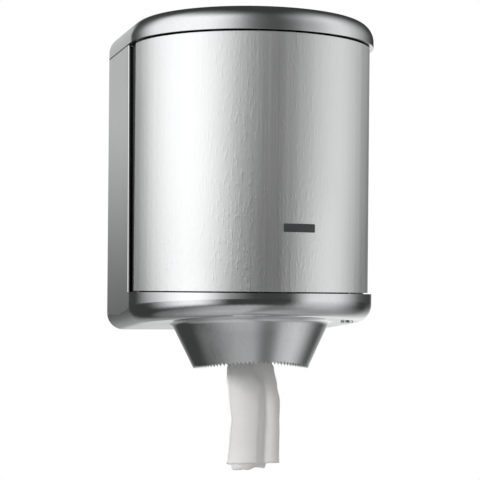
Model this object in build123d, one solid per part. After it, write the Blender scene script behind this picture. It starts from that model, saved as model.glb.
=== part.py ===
from build123d import *
from math import atan2, cos, degrees, hypot, pi, radians, sin, sqrt, tan
import os

# Centrefeed roll dispenser for a wall. Millimetres, +Z up, +Y into the wall, the front faces -Y.
# The origin is the middle of the four wall screws, on the back panel's rear face.

# Paper roll, which the body is sized for
roll_radius = 97.0
roll_height = 205.0
roll_bore_radius = 32.0
roll_side_room = 30.5
roll_back_room = 22.0
roll_head_room = 39.0

# Sheet metal
sheet = 1.2
flange_width = 15.5
seam_gap = 0.3

# Lid
lid_height = 25.0
lid_edge_radius = 19.0
gasket_thickness = 1.2
rivet_radius = 2.0
rivet_head_radius = 3.5
rivet_head_height = 1.2
rivet_inset = 8.0
side_rivet_back = 20.0
side_rivet_to_bracket = 3.0
back_rivet_x = 60.0

# Tray, with depths below the seam between door and tray
floor_depth = 31.75
floor_slope = 4.4
tray_edge_radius = 18.0
tray_seam_forward = 4.5
tray_seam_front_depth = 17.0
tray_seam_back_depth = 24.0
tray_seam_bend = 49.0
upstand_above = 12.0
upstand_below = 4.0

# Casing
casing_edge_top = 9.0
casing_edge_bottom = 2.0
hem_radius = 1.3
wall_screw_spacing_x = 150.0
wall_screw_spacing_z = 150.0
wall_screw_hole_radius = 3.2

# Funnel
funnel_forward = 8.0
funnel_taper = 22.3
funnel_bend_radius = 7.0
funnel_flange_width = 10.0
rim_side_depth = 46.6
rim_front_depth = 43.8
rim_back_depth = 38.6
rim_trim = 4.0
tooth_pitch = 3.3
tooth_depth = 1.6
tooth_tip = 0.1

# Paper nozzle
nozzle_ledge = 11.3
nozzle_outlet_radius = 16.0
nozzle_drop = 25.0
nozzle_wall = 2.0
nozzle_lip = 4.0
nozzle_edge_gap = 1.0
stud_count = 3
stud_radius = 1.5
stud_length = 6.5
stud_edge_distance = 3.0
nut_height = 2.4
nut_across_flats = 5.0

# Shelf
shelf_rise = 10.0
shelf_rim = 1.0
shelf_hole_rim = 26.0
shelf_past_bracket = 2.0
shelf_edge_gap = 0.3
bracket_leg = 14.0
bracket_back = 20.0
bracket_to_post = 4.0
shelf_screw_radius = 2.0
shelf_screw_head_radius = 3.8
shelf_screw_head_height = 2.2
shelf_screw_length = 9.0
shelf_screw_inset = 7.5
shelf_screw_end = 10.0
shelf_nut_height = 3.2
shelf_nut_across_flats = 7.0
post_radius = 3.0
post_turn = 38.5
post_clearance = 0.3

# Door
door_setback = 4.0
door_sheet = 1.0
door_end_gap = 1.2
door_edge_forward = 8.5
rib_width = 19.0
stile_width = 12.0

# Hinge
hinge_inset = 10.0
hinge_forward = 11.0
pin_radius = 2.25
pin_clearance = 0.05
bush_wall = 1.2
bush_flange_width = 1.0
bush_gap = 0.3
bush_above_rib = 1.2
ear_margin = 0.1
pin_above_bush = 1.0
hinge_plate_thickness = 2.5
hinge_plate_width = 18.0
hinge_plate_front = 13.0
hinge_plate_back = 9.0

# Lock
lock_turn = 63.2
lock_to_funnel = 2.3
lock_radius = 5.0
lock_face_width = 1.2
lock_face_thickness = 1.5
barrel_radius = 3.6
barrel_clearance = 0.08
key_slot_length = 5.0
key_slot_width = 1.6
key_slot_depth = 6.0
lock_nut_height = 4.0
lock_nut_across_flats = 12.5
notch_clearance = 2.0
notch_reach = 28.0
hook_thickness = 2.5
hook_hub_radius = 6.0
hook_finger_gap = 1.0
hook_finger_width = 3.0
hook_start_angle = -48.0
hook_end_angle = 8.0
hook_arm_width = 6.0
hook_above_keeper = 1.4
hook_gap = 0.3
hook_screw_radius = 1.6
hook_screw_head_radius = 3.2
hook_screw_head_height = 2.0
hook_screw_length = 8.0
keeper_distance = 11.0
keeper_radius = 2.0
keeper_base = 1.2
keeper_length = 22.0
keeper_margin = 0.5
keeper_above_hook = 1.5
keeper_rivet_radius = 1.2
keeper_rivet_head_radius = 2.2
keeper_rivet_head_height = 0.8
keeper_rivet_first = 7.0
keeper_rivet_pitch = 9.0

# Latch side post and door stops
post_depth = 14.0
post_face_back = 1.0
post_channel = 11.0
post_wall_leg = 10.0
bumper_radius = 4.0
bumper_gap = 0.3
bumper_spacing = 160.0

# Hinge side seal
seal_thickness = 1.5
seal_inset = 5.5
seal_front = 4.5
seal_length = 20.5
seal_foot = 4.0

# Badge place on the door
badge_width = 33.5
badge_height = 8.3
badge_thickness = 0.7
badge_rise = 63.5
badge_turn = 8.2

# Paper tail, a strip gathered into folds
tail_thickness = 1.2
tail_layers = 4
fold_narrowing = 0.07
fold_bow = 0.07
tail_in_bore = 60.0
tail_bore_gap = 0.5
tail_bore_width = 38.0
tail_bore_depth = 6.4
tail_shelf_depth = 5.6
tail_throat_gap = 0.3
tail_throat_flattening = 0.5

# How far below the funnel's rim, how wide, how deep and how far to the right the tail is there
tail_levels = [
    (0.0, 54.0, 14.0, -1.6),
    (32.0, 59.5, 12.6, 1.0),
    (69.0, 56.0, 11.2, 2.2),
    (106.5, 55.5, 9.8, 2.5),
]

# Worked out from the sizes above
body_half_width = roll_radius + roll_side_room
axis_y = -(roll_radius + roll_back_room)
cover_height = shelf_rise + roll_height + roll_head_room
inner_half_width = body_half_width - sheet
slope = radians(floor_slope)
seam_z = -cover_height / 2
lid_z = cover_height / 2
casing_top = lid_z - gasket_thickness
shelf_z = seam_z + shelf_rise
shelf_radius = roll_radius + shelf_rim
door_radius = body_half_width - door_setback
door_inner_radius = door_radius - door_sheet
door_bottom = seam_z + door_end_gap
door_top = lid_z - door_end_gap
door_edge_y = axis_y - door_edge_forward
tray_seam_y = axis_y - tray_seam_forward
bracket_front = -axis_y - post_face_back - post_channel - post_wall_leg - bracket_to_post
rib_top = door_bottom + sheet
hinge_x = hinge_inset - body_half_width
hinge_y = axis_y - hinge_forward
bush_radius = pin_radius + pin_clearance + bush_wall
bush_flange_radius = bush_radius + bush_flange_width
ear_radius = bush_flange_radius + ear_margin
lock_reach = body_half_width - tray_edge_radius - lock_nut_across_flats / 2
lock_x = lock_reach * sin(radians(lock_turn))
lock_y = axis_y - lock_reach * cos(radians(lock_turn))
notch_radius = lock_radius + notch_clearance
funnel_y = axis_y - funnel_forward
funnel_flange_radius = hypot(lock_x, lock_y - funnel_y) - lock_nut_across_flats / 2 - lock_to_funnel
funnel_top_radius = funnel_flange_radius - funnel_flange_width
funnel_bottom_radius = funnel_top_radius - funnel_taper
funnel_length = rim_side_depth
nozzle_flange_radius = funnel_flange_radius - nozzle_edge_gap
nozzle_mouth_radius = funnel_top_radius - nozzle_ledge
stud_circle = nozzle_flange_radius - stud_edge_distance
far = 4 * (body_half_width + cover_height)


def floor_height(y):
    """Height of the tray's underside at a place between wall and front."""
    return seam_z - floor_depth + (axis_y - y) * tan(slope)


def on_floor(x, y):
    """Place on the sloping underside whose own Z stands square to it."""
    return Location((x, y, floor_height(y)), (-floor_slope, 0, 0))


funnel_place = on_floor(0, funnel_y)
lock_place = on_floor(lock_x, lock_y)
hook_z = (rib_top + keeper_base + hook_above_keeper - floor_height(lock_y)) / cos(slope)
hook_centre = (lock_place * Pos(0, 0, hook_z)).position
opening_angle = degrees(atan2(hinge_x - hook_centre.X, hook_centre.Y - hinge_y))
keeper_x = hook_centre.X + keeper_distance * cos(radians(opening_angle))
keeper_y = hook_centre.Y + keeper_distance * sin(radians(opening_angle))


def block(x0, x1, y0, y1, z0, z1):
    """Box between two corners."""
    return Pos(x0, y0, z0) * Box(x1 - x0, y1 - y0, z1 - z0, align=(Align.MIN, Align.MIN, Align.MIN))


def rod(radius, z0, z1, x=0.0, y=0.0):
    """Upright round bar."""
    return Pos(x, y, z0) * Cylinder(radius, z1 - z0, align=(Align.CENTER, Align.CENTER, Align.MIN))


def tube(outer, inner, z0, z1, x=0.0, y=0.0):
    """Upright round tube."""
    return rod(outer, z0, z1, x, y) - rod(inner, z0 - 1, z1 + 1, x, y)


def hexagon(across_flats, z0, z1, x=0.0, y=0.0):
    """Upright six-sided block."""
    return Pos(x, y, z0) * extrude(RegularPolygon(across_flats / 2, 6, major_radius=False), z1 - z0)


def d_block(half_width, back, z0, z1):
    """Block with a flat back, straight sides and a half-round front."""
    front = rod(half_width, z0, z1, 0, axis_y) & block(-far, far, -far, axis_y, z0, z1)
    return front + block(-half_width, half_width, axis_y, -back, z0, z1)


def above_floor(lift):
    """All the space above the sloping underside, raised square to it by lift."""
    return on_floor(0, axis_y) * block(-far, far, -far, far, lift, 2 * far)


def seam_line(lift):
    """Points of the seam between tray and casing, from front to back, raised by lift."""
    front = seam_z - tray_seam_front_depth + lift
    back = seam_z - tray_seam_back_depth + lift
    return [(tray_seam_y, front), (axis_y + tray_seam_bend, back), (0, back)]


def above_seam(lift):
    """All the space above the seam between tray and casing, raised by lift."""
    line = seam_line(lift)
    outline = Polyline((-far, line[0][1]), *line, (far, line[-1][1]), (far, far), (-far, far), close=True)
    return extrude(Plane.YZ * make_face(outline), far, both=True)


def wedge(radius, start, end, z0, z1):
    """Slice of an upright bar between two angles in degrees, less than 120 apart."""
    middle = radians((start + end) / 2)
    reach = 2 * radius
    corners = [(0, 0)]
    for angle in (radians(start), middle, radians(end)):
        corners.append((reach * cos(angle), reach * sin(angle)))
    return Pos(0, 0, z0) * extrude(make_face(Polyline(*corners, close=True)), z1 - z0)


def round_edges(solid, back, on_face, radius):
    """Round the edges of one face of a D block, all but the one at its flat back."""
    chosen = []
    for edge in solid.edges():
        box = edge.bounding_box()
        upright = box.size.X < 0.01 and box.size.Y < 0.01
        at_back = box.min.Y > -back - 0.01
        if not upright and not at_back and on_face(edge.position_at(0.5)):
            chosen.append(edge)
    return fillet(chosen, radius)


def lock_notch(z0, z1):
    """Room for the lock, open to the inside so that the door can leave it."""
    slot = Rot(0, 0, opening_angle) * block(-notch_reach, 0, -notch_radius, notch_radius, z0, z1)
    return lock_place * (rod(notch_radius, z0, z1) + slot)


def tray_block(inset, radius, top):
    """Solid with the tray's outline, cut by the sloping floor and rounded below."""
    solid = d_block(body_half_width - inset, inset, floor_height(0) - sheet, top) & above_floor(inset)
    limit = inset + tray_edge_radius / 2
    return round_edges(solid, inset, lambda p: p.Z < floor_height(p.Y) + limit, radius)


def make_tray():
    tray = tray_block(0, tray_edge_radius, seam_z)
    tray -= tray_block(sheet, tray_edge_radius - sheet, seam_z - sheet)
    tray -= d_block(body_half_width - flange_width, sheet, seam_z - 2 * sheet, seam_z + sheet)
    front = tray_seam_y - seam_gap
    tray -= block(-far, far, front, far, -far, far) & above_seam(0)
    upstand = d_block(inner_half_width, sheet, -far, seam_z - sheet) & tray_block(0, tray_edge_radius, seam_z)
    upstand -= d_block(inner_half_width - sheet, 2 * sheet, -far, seam_z)
    upstand &= above_seam(-upstand_below)
    upstand -= above_seam(upstand_above)
    tray += upstand & block(-far, far, front - upstand_above, far, -far, far)
    tray -= funnel_place * rod(funnel_flange_radius, -sheet, 2 * sheet)
    tray -= lock_place * rod(lock_radius, -sheet, 2 * sheet)
    tray -= lock_notch(2 * sheet + lock_nut_height, far)
    tray -= rod(pin_radius, seam_z - 2 * sheet, seam_z + sheet, hinge_x, hinge_y)
    return tray


def lid_rivet_spots():
    """Places of the rivets through lid, gasket and casing."""
    x = body_half_width - rivet_inset
    places = (side_rivet_back, bracket_front - side_rivet_to_bracket)
    spots = [(side * x, -back) for side in (-1, 1) for back in places]
    return spots + [(side * back_rivet_x, -rivet_inset) for side in (-1, 1)]


def drill_lid_rivets(piece, z0, z1):
    for x, y in lid_rivet_spots():
        piece -= rod(rivet_radius, z0 - 1, z1 + 1, x, y)
    return piece


def make_lid():
    top = lid_z + lid_height
    lid = round_edges(d_block(body_half_width, 0, lid_z, top), 0, lambda p: p.Z > top - 1, lid_edge_radius)
    roof = top - sheet
    cavity = d_block(inner_half_width, sheet, lid_z + sheet, roof)
    lid -= round_edges(cavity, sheet, lambda p: p.Z > roof - 1, lid_edge_radius - sheet)
    lid -= d_block(body_half_width - flange_width, flange_width, lid_z - 1, lid_z + 2 * sheet)
    lid -= rod(pin_radius, lid_z - 1, lid_z + 2 * sheet, hinge_x, hinge_y)
    return drill_lid_rivets(lid, lid_z, lid_z + sheet)


def top_strip(z0, z1):
    """Flat strip along both sides and the back, behind the door."""
    strip = d_block(body_half_width, 0, z0, z1)
    strip -= d_block(body_half_width - flange_width, flange_width, z0 - 1, z1 + 1)
    strip &= block(-far, far, axis_y + casing_edge_top, far, z0, z1)
    return drill_lid_rivets(strip, z0, z1)


def make_lid_rivets():
    low = casing_top - sheet
    high = lid_z + sheet
    rivets = []
    for x, y in lid_rivet_spots():
        rivet = rod(rivet_radius, low, high, x, y)
        rivet += rod(rivet_head_radius, low - rivet_head_height, low, x, y)
        rivet += rod(rivet_head_radius, high, high + rivet_head_height, x, y)
        rivets.append(rivet)
    return Compound(children=rivets)


def make_rear_casing():
    front_low = axis_y + casing_edge_bottom
    front_high = axis_y + casing_edge_top
    side = Polyline(
        (tray_seam_y, seam_z),
        *seam_line(seam_gap),
        (0, casing_top),
        (front_high, casing_top),
        (front_low, seam_z),
        close=True)
    wall = extrude(Plane.YZ * make_face(side), sheet)
    casing = Pos(inner_half_width, 0, 0) * wall + Pos(-body_half_width, 0, 0) * wall
    low = seam_line(seam_gap)[-1][1]
    casing += block(-body_half_width, body_half_width, -sheet, 0, low, casing_top)
    casing += top_strip(casing_top - sheet, casing_top)
    rise = casing_top - seam_z
    run = front_high - front_low
    lean = degrees(atan2(run, rise))
    for hand in (-1, 1):
        foot = (hand * (body_half_width - hem_radius), front_low + hem_radius, seam_z)
        hem = Location(foot, (-lean, 0, 0)) * rod(hem_radius, -hem_radius, hypot(rise, run) + hem_radius)
        casing += hem & block(-far, far, -far, far, seam_z, casing_top)
    for x in (-wall_screw_spacing_x / 2, wall_screw_spacing_x / 2):
        for z in (-wall_screw_spacing_z / 2, wall_screw_spacing_z / 2):
            casing -= Pos(x, 0, z) * Cylinder(wall_screw_hole_radius, 4 * sheet, rotation=(90, 0, 0))
    return casing


def rim_depth(y):
    """Depth of the funnel's rim along its axis: least at the back, most at the sides."""
    share = y / funnel_bottom_radius
    lean = (rim_back_depth - rim_front_depth) / 2
    arch = (rim_back_depth + rim_front_depth) / 2 - rim_side_depth
    return rim_side_depth + lean * share + arch * share ** 2


def below_rim():
    """All the space below the funnel's rim, which is curved from front to back."""
    reach = 2 * funnel_top_radius
    steps = [reach * (i / 8 - 1) for i in range(17)]
    line = [(y, -rim_depth(y)) for y in steps]
    low = min(z for y, z in line) - rim_trim
    outline = Spline(*line) + Polyline(line[-1], (reach, low), (-reach, low), line[0])
    return extrude(Plane.YZ * make_face(outline), reach, both=True)


def make_funnel():
    half_angle = atan2(funnel_top_radius - funnel_bottom_radius, funnel_length)
    skew = sheet / cos(half_angle)
    corner_radius = funnel_top_radius + sheet * tan(half_angle) - skew
    face = make_face(Polyline(
        (funnel_flange_radius, 0),
        (funnel_top_radius, 0),
        (funnel_bottom_radius, -funnel_length),
        (funnel_bottom_radius - skew, -funnel_length),
        (corner_radius, sheet),
        (funnel_flange_radius, sheet),
        close=True))
    face = fillet(face.vertices().sort_by_distance((funnel_top_radius, 0))[0], funnel_bend_radius)
    face = fillet(face.vertices().sort_by_distance((corner_radius, sheet))[0], funnel_bend_radius + sheet)
    cone = revolve(Plane.XZ * face, Axis.Z)
    count = round(2 * pi * funnel_bottom_radius / tooth_pitch)
    half = pi * funnel_bottom_radius / count - tooth_tip / 2
    notch = make_face(Polyline((-half, -1), (half, -1), (half, 0), (0, tooth_depth), (-half, 0), close=True))
    cutter = Pos(0, -funnel_bottom_radius, 0) * extrude(Plane.XZ * notch, 5 * sheet, both=True)
    cutters = [below_rim()]
    for i in range(count):
        turn = 2 * pi * i / count
        depth = rim_depth(-funnel_bottom_radius * cos(turn))
        cutters.append(Pos(0, 0, -depth) * Rot(0, 0, degrees(turn)) * cutter)
    return funnel_place * (cone - cutters)


def stud_spots():
    """Places of the nozzle's studs round the funnel's mouth, one at the back."""
    angles = [pi / 2 + 2 * pi * i / stud_count for i in range(stud_count)]
    return [(stud_circle * cos(a), stud_circle * sin(a)) for a in angles]


def make_paper_nozzle():
    outlet_z = sheet - nozzle_drop
    face = make_face(Polyline(
        (nozzle_flange_radius, sheet),
        (nozzle_mouth_radius, sheet),
        (nozzle_outlet_radius + nozzle_wall, outlet_z),
        (nozzle_outlet_radius + nozzle_wall, outlet_z - nozzle_lip),
        (nozzle_outlet_radius, outlet_z - nozzle_lip),
        (nozzle_outlet_radius, outlet_z + nozzle_wall),
        (nozzle_mouth_radius, sheet + nozzle_wall),
        (nozzle_flange_radius, sheet + nozzle_wall),
        close=True))
    nozzle = revolve(Plane.XZ * face, Axis.Z)
    for x, y in stud_spots():
        nozzle -= rod(stud_radius, 0, sheet + 2 * nozzle_wall, x, y)
    nozzle = funnel_place * nozzle
    for x, y in post_spots():
        nozzle -= rod(post_radius + post_clearance, floor_height(0), shelf_z, x, y)
    return nozzle


def make_nozzle_studs():
    studs = [funnel_place * rod(stud_radius, sheet, sheet + stud_length, x, y) for x, y in stud_spots()]
    return Compound(children=studs)


def make_nozzle_nuts():
    low = sheet + nozzle_wall
    nuts = []
    for x, y in stud_spots():
        nut = hexagon(nut_across_flats, low, low + nut_height, x, y)
        nuts.append(funnel_place * (nut - rod(stud_radius, low - 1, low + nut_height + 1, x, y)))
    return Compound(children=nuts)


def post_spots():
    """Places of the shelf's two posts, on the funnel's flange."""
    reach = funnel_flange_radius - post_radius - post_clearance
    y = funnel_y - reach * cos(radians(post_turn))
    return [(side * reach * sin(radians(post_turn)), y) for side in (-1, 1)]


def shelf_screw_spots():
    """Places of the screws that hold the shelf on its brackets."""
    x = inner_half_width - shelf_screw_inset
    places = (bracket_back + shelf_screw_end, bracket_front - shelf_screw_end)
    return [(side * x, -back) for side in (-1, 1) for back in places]


def make_roll_shelf():
    low = shelf_z - sheet
    shelf = rod(shelf_radius, low, shelf_z, 0, axis_y)
    wing = inner_half_width - shelf_edge_gap
    shelf += block(-wing, wing, -bracket_front - shelf_past_bracket, -sheet - shelf_edge_gap, low, shelf_z)
    shelf -= rod(roll_bore_radius + shelf_hole_rim, low - 1, shelf_z + 1, 0, axis_y)
    for x, y in shelf_screw_spots():
        shelf -= rod(shelf_screw_radius, low - 1, shelf_z + 1, x, y)
    return shelf


def make_shelf_bracket(side):
    top = shelf_z - sheet
    edge = inner_half_width - bracket_leg
    bracket = block(edge, inner_half_width, -bracket_front, -bracket_back, top - sheet, top)
    leg = inner_half_width - sheet
    bracket += block(leg, inner_half_width, -bracket_front, -bracket_back, top - bracket_leg, top)
    for x, y in shelf_screw_spots():
        if x > 0:
            bracket -= rod(shelf_screw_radius, top - 2 * sheet, top + sheet, x, y)
    return bracket if side > 0 else bracket.mirror(Plane.YZ)


def make_shelf_screws():
    screws = []
    for x, y in shelf_screw_spots():
        screw = rod(shelf_screw_radius, shelf_z - shelf_screw_length, shelf_z, x, y)
        screws.append(screw + rod(shelf_screw_head_radius, shelf_z, shelf_z + shelf_screw_head_height, x, y))
    return Compound(children=screws)


def make_shelf_nuts():
    top = shelf_z - 2 * sheet
    nuts = []
    for x, y in shelf_screw_spots():
        nut = hexagon(shelf_nut_across_flats, top - shelf_nut_height, top, x, y)
        nuts.append(nut - rod(shelf_screw_radius, top - shelf_nut_height - 1, top + 1, x, y))
    return Compound(children=nuts)


def make_shelf_posts():
    floor_top = above_floor(sheet)
    top = shelf_z - sheet
    posts = [rod(post_radius, floor_height(0), top, x, y) & floor_top for x, y in post_spots()]
    return Compound(children=posts)


def door_side(z0, z1):
    """All the space that belongs to the door, in front of its two upright edges."""
    return block(-far, far, -far, door_edge_y, z0, z1)


def make_door_skin():
    skin = tube(door_radius, door_inner_radius, door_bottom, door_top, 0, axis_y)
    return skin & door_side(door_bottom, door_top)


def make_rib(z0, z1):
    rib = tube(door_inner_radius, door_inner_radius - rib_width, z0, z1, 0, axis_y) & door_side(z0, z1)
    rib += rod(ear_radius, z0, z1, hinge_x, hinge_y) & rod(door_inner_radius, z0, z1, 0, axis_y)
    return rib - rod(bush_radius, z0 - 1, z1 + 1, hinge_x, hinge_y)


def make_door_bottom_rib():
    rib = make_rib(door_bottom, rib_top) - lock_notch(lock_nut_height, far)
    for x, y in keeper_rivet_spots():
        rib -= rod(keeper_rivet_radius, door_bottom - 1, rib_top + 1, x, y)
    return rib


def make_stile(side, front, back):
    """Upright strip between the ribs, square to the door's skin."""
    inner = door_inner_radius - stile_width
    low = door_bottom + sheet
    high = door_top - sheet
    strip = block(inner, door_radius, front, back, low, high) & rod(door_inner_radius, low, high, 0, axis_y)
    return strip if side > 0 else strip.mirror(Plane.YZ)


def make_hinge_stile():
    back = hinge_y - ear_radius - bush_gap
    return make_stile(-1, back - sheet, back)


def make_badge_plate():
    half_turn = degrees(badge_width / 2 / door_radius)
    middle = badge_turn - 90
    low = seam_z + badge_rise - badge_height / 2
    high = low + badge_height
    plate = tube(door_radius + badge_thickness, door_radius, low, high)
    return Pos(0, axis_y, 0) * (plate & wedge(door_radius, middle - half_turn, middle + half_turn, low, high))


def hinge_plate(z0, z1, back):
    x1 = hinge_plate_width - inner_half_width
    plate = block(-inner_half_width, x1, hinge_y - hinge_plate_front, back, z0, z1)
    plate &= d_block(inner_half_width, sheet, z0, z1)
    return plate - rod(pin_radius, z0 - 1, z1 + 1, hinge_x, hinge_y)


def make_bush(face, up):
    """Flanged bush in a rib, its flange on the side of the fixed pin's plate."""
    flange = door_end_gap - bush_gap
    inner = pin_radius + pin_clearance
    bush = tube(bush_flange_radius, inner, -flange, 0)
    bush += tube(bush_radius, inner, -flange, sheet + bush_above_rib)
    return Pos(hinge_x, hinge_y, face) * (bush if up else bush.mirror(Plane.XY))


def lower_plate_z():
    return seam_z - sheet - hinge_plate_thickness


def upper_plate_z():
    return lid_z + sheet + hinge_plate_thickness


def make_pin(end, rib_face, up):
    """Pin from the outer face of its plate to just past its bush."""
    reach = sheet + bush_above_rib + pin_above_bush
    tip = rib_face + reach if up else rib_face - reach
    return rod(pin_radius, min(end, tip), max(end, tip), hinge_x, hinge_y)


def make_lock_housing():
    housing = rod(lock_radius, 0, hook_z - hook_gap)
    housing += rod(lock_radius + lock_face_width, -lock_face_thickness, 0)
    return lock_place * (housing - rod(barrel_radius + barrel_clearance, -far, far))


def make_lock_nut():
    nut = Rot(0, 0, lock_turn - 60) * hexagon(lock_nut_across_flats, sheet, sheet + lock_nut_height)
    return lock_place * (nut - rod(lock_radius, 0, sheet + lock_nut_height + 1))


def make_lock_barrel():
    barrel = rod(barrel_radius, -lock_face_thickness, hook_z)
    slot = block(-key_slot_length / 2, key_slot_length / 2, -key_slot_width / 2, key_slot_width / 2, -far, 0)
    barrel -= slot & rod(barrel_radius, -far, key_slot_depth - lock_face_thickness)
    barrel -= rod(hook_screw_radius, hook_z - hook_screw_length, hook_z + 1)
    return lock_place * barrel


def make_lock_hook():
    top = hook_z + hook_thickness
    inner = keeper_distance + keeper_radius + hook_finger_gap
    outer = inner + hook_finger_width
    finger = tube(outer, inner, hook_z, top) & wedge(outer, hook_start_angle, hook_end_angle, hook_z, top)
    arm = block(0, inner + hook_finger_width / 2, 0, hook_arm_width, hook_z, top)
    hook = finger + Rot(0, 0, hook_start_angle) * arm + rod(hook_hub_radius, hook_z, top)
    hook -= rod(hook_screw_radius, hook_z - 1, top + 1)
    return lock_place * Rot(0, 0, opening_angle - 90) * hook


def make_lock_hook_screw():
    top = hook_z + hook_thickness
    screw = rod(hook_screw_radius, hook_z - hook_screw_length, top)
    return lock_place * (screw + rod(hook_screw_head_radius, top, top + hook_screw_head_height))


def keeper_frame():
    """Place at the keeper's post whose X runs along the rib, away from the lock."""
    return Location((keeper_x, keeper_y, 0), (0, 0, degrees(atan2(keeper_y - axis_y, keeper_x)) - 90))


def keeper_rivet_spots():
    """Places of the two rivets that hold the keeper on the lower rib."""
    spots = []
    for number in range(2):
        place = keeper_frame() * Pos(keeper_rivet_first + number * keeper_rivet_pitch, 0, 0)
        spots.append((place.position.X, place.position.Y))
    return spots


def make_latch_keeper():
    high = rib_top + keeper_base
    ring = tube(door_inner_radius - keeper_margin, door_inner_radius - rib_width, rib_top, high, 0, axis_y)
    base = keeper_frame() * block(-2 * keeper_radius, keeper_length, -rib_width, rib_width, rib_top, high)
    keeper = (base & ring) - lock_notch(lock_nut_height, far)
    post_top = (lock_place * Pos(0, -keeper_distance, hook_z + hook_thickness)).position.Z + keeper_above_hook
    keeper += rod(keeper_radius, rib_top, post_top, keeper_x, keeper_y)
    for x, y in keeper_rivet_spots():
        keeper -= rod(keeper_rivet_radius, rib_top - 1, high + 1, x, y)
    return keeper


def make_keeper_rivets():
    high = rib_top + keeper_base
    rivets = []
    for x, y in keeper_rivet_spots():
        rivet = rod(keeper_rivet_radius, door_bottom, high, x, y)
        rivets.append(rivet + rod(keeper_rivet_head_radius, high, high + keeper_rivet_head_height, x, y))
    return Compound(children=rivets)


def latch_post_face():
    return axis_y + post_face_back


def make_latch_post():
    low = seam_z
    high = casing_top - sheet
    inner = inner_half_width - post_depth
    face_y = latch_post_face()
    web_y = face_y + post_channel
    post = block(inner, body_half_width - 2 * hem_radius - seam_gap, face_y, face_y + sheet, low, high)
    post += block(inner, inner + sheet, face_y, web_y + sheet, low, high)
    post += block(inner, inner_half_width, web_y, web_y + sheet, low, high)
    post += block(inner_half_width - sheet, inner_half_width, web_y, web_y + post_wall_leg, low, high)
    return post


def make_door_bumpers():
    face_y = latch_post_face()
    length = face_y - door_edge_y - bumper_gap
    x = door_inner_radius - stile_width / 2
    bumpers = []
    for z in (-bumper_spacing / 2, bumper_spacing / 2):
        bumper = Cylinder(bumper_radius, length, rotation=(90, 0, 0))
        bumpers.append(Pos(x, face_y - length / 2, z) * bumper)
    return Compound(children=bumpers)


def make_hinge_side_seal():
    outer = seal_inset - body_half_width
    front = axis_y - seal_front
    back = front + seal_length
    low = seam_z + seam_gap
    high = casing_top - sheet
    seal = block(outer, outer + seal_thickness, front, back, low, high)
    return seal + block(-inner_half_width, outer + seal_thickness, back - seal_foot, back, low, high)


def make_paper_roll():
    return tube(roll_radius, roll_bore_radius, shelf_z, shelf_z + roll_height, 0, axis_y)


def folded_outline(width, depth):
    """Closed outline of a strip folded into layers, with a soft bend in each."""
    line = []
    for layer in range(tail_layers):
        y = depth * (layer / (tail_layers - 1) - 0.5)
        hand = 1 if layer % 2 == 0 else -1
        reach = hand * width / 2 * (1 - fold_narrowing * layer)
        bow = hand * depth * fold_bow
        line += [(-reach, y), (-reach / 3, y + bow), (reach / 3, y - bow), (reach, y)]
    left = []
    right = []
    for number, (x, y) in enumerate(line):
        x0, y0 = line[max(number - 1, 0)]
        x1, y1 = line[min(number + 1, len(line) - 1)]
        before = atan2(y - y0, x - x0) if number else atan2(y1 - y, x1 - x)
        after = atan2(y1 - y, x1 - x) if number < len(line) - 1 else before
        turn = (after - before + pi) % (2 * pi) - pi
        normal = before + turn / 2 + pi / 2
        reach = tail_thickness / 2 / cos(turn / 2)
        left.append((x + reach * cos(normal), y + reach * sin(normal)))
        right.append((x - reach * cos(normal), y - reach * sin(normal)))
    return left + right[::-1]


def make_paper_tail():
    outlet = (funnel_place * Pos(0, 0, sheet - nozzle_drop)).position
    lip = (funnel_place * Pos(0, 0, sheet - nozzle_drop - nozzle_lip)).position
    rim = (funnel_place * Pos(0, 0, -funnel_length)).position
    throat = 2 * (nozzle_outlet_radius - tail_thickness - tail_throat_gap)
    throat_width = throat / hypot(1, tail_throat_flattening)
    throat_depth = tail_throat_flattening * throat_width
    bore_reach = sqrt(roll_bore_radius ** 2 - (tail_bore_width / 2) ** 2)
    bore_reach -= tail_bore_depth / 2 + tail_thickness + tail_bore_gap
    levels = [
        (shelf_z + tail_in_bore, tail_bore_width, tail_bore_depth, 0, axis_y + bore_reach),
        (shelf_z, tail_bore_width, tail_shelf_depth, 0, axis_y + bore_reach / 2),
        (outlet.Z, throat_width, throat_depth, 0, outlet.Y),
        (lip.Z, throat_width, throat_depth, 0, lip.Y),
    ]
    for drop, width, depth, sideways in tail_levels:
        levels.append((rim.Z - drop, width, depth, sideways, lip.Y))
    sections = []
    for z, width, depth, x, y in levels:
        outline = Polyline(*folded_outline(width, depth), close=True)
        sections.append(Pos(x, y, z) * make_face(outline))
    return loft(sections, ruled=True)


lower_face = door_bottom
upper_face = door_top

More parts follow.
